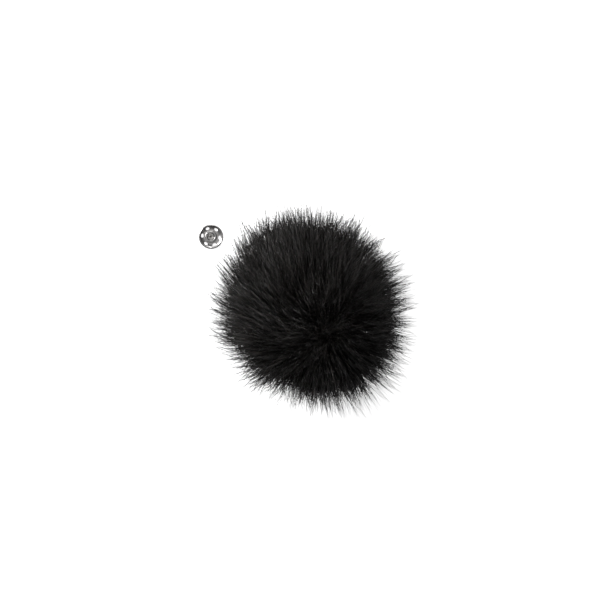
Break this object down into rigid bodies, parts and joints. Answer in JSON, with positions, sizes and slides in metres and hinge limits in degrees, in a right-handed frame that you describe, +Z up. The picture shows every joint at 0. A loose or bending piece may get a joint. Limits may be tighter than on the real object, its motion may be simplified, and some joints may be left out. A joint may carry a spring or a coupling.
{
  "type": "fur pom-pom with press stud",
  "caption": "Round fluffy fake-fur bobble for a hat, with a sew-on snap fastener: one half under its gathered base, the other half loose beside it.",
  "frame": {"origin": "on the surface the object stands on, at the middle of the box around the pom-pom and the loose half", "axes": "+Z up, out of the pom-pom's crown; the pom-pom stands at +X of the loose socket half, which lies at -X and +Y"},
  "size_m": [0.1234, 0.112, 0.102],
  "materials": {
    "fur": "satin",
    "knit": "matte",
    "filling": "matte",
    "felt": "matte",
    "thread": "satin",
    "nickel": "satin",
    "spring_wire": "satin"
  },
  "bodies": {
    "pompom": {"fur_pile": "fur", "fur_backing": "knit", "stuffing": "filling", "gathering_thread": "thread", "closing_knot": "thread"},
    "stud_half": {"stud_plate": "nickel", "base_patch": "felt", "stud_stitch_1": "thread", "stud_stitch_2": "thread", "stud_stitch_3": "thread", "stud_stitch_4": "thread", "stud_stitch_5": "thread", "stud_stitch_6": "thread", "patch_stitch_1": "thread", "patch_stitch_2": "thread", "patch_stitch_3": "thread", "patch_stitch_4": "thread", "patch_stitch_5": "thread", "patch_stitch_6": "thread", "patch_stitch_7": "thread", "patch_stitch_8": "thread", "patch_stitch_9": "thread", "patch_stitch_10": "thread"},
    "socket_half": {"socket_plate": "nickel", "socket_cup": "nickel", "socket_spring": "spring_wire"}
  },
  "joints": [
    {"name": "socket_slide", "type": "slide", "parent": "pompom", "child": "socket_half", "axis": [0.807, -0.5905, 0], "range_m": [0, 0.07435], "deforming": ["fur_pile"]},
    {"name": "stud_press", "type": "slide", "parent": "pompom", "child": "stud_half", "axis": [0, 0, -1], "range_m": [0, 0.00375], "stiffness_N_per_m": 300}
  ]
}
